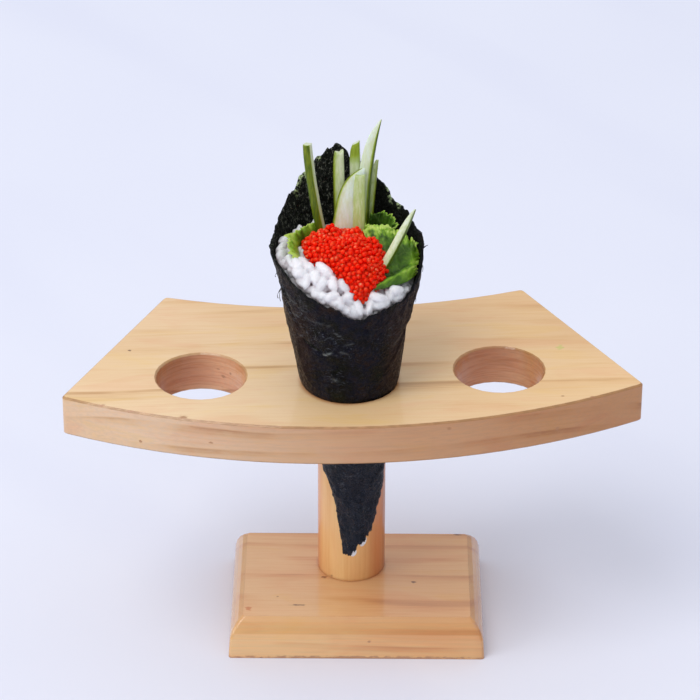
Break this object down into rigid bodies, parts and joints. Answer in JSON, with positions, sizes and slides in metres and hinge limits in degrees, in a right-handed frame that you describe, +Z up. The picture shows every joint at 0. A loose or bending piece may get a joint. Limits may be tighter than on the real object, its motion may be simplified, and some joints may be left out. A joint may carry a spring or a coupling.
{
  "type": "temaki hand roll in a wooden stand",
  "caption": "Nori cone filled with sushi rice, red roe, lettuce and cucumber batons, standing upright in a hole of a curved pine board on a post and a square base.",
  "frame": {"origin": "centre of the base's underside, on the table", "axes": "+Z up, -Y towards the front where the cone's edge dips and the roe shows, +X to the right seen from the front"},
  "size_m": [0.2567, 0.1253, 0.2555],
  "materials": {
    "board_wood": "bare planed pine, satin",
    "post_wood": "turned pine, golden, satin",
    "base_wood": "bare planed pine, satin",
    "nori": "dry toasted seaweed, wrinkled, slight sheen",
    "rice": "moist, slightly translucent",
    "roe": "wet, translucent",
    "lettuce": "fresh leaf, soft sheen",
    "cucumber": "moist cut flesh with green skin"
  },
  "bodies": {
    "root": {"stand_base": "base_wood", "stand_post": "post_wood", "stand_board": "board_wood", "nori": "nori", "rice": "rice", "roe": "roe", "lettuce_left": "lettuce", "lettuce_back": "lettuce", "lettuce_right": "lettuce", "cucumber_1": "cucumber", "cucumber_2": "cucumber", "cucumber_3": "cucumber", "cucumber_4": "cucumber", "cucumber_5": "cucumber", "cucumber_6": "cucumber", "cucumber_7": "cucumber", "cucumber_8": "cucumber"}
  },
  "joints": []
}
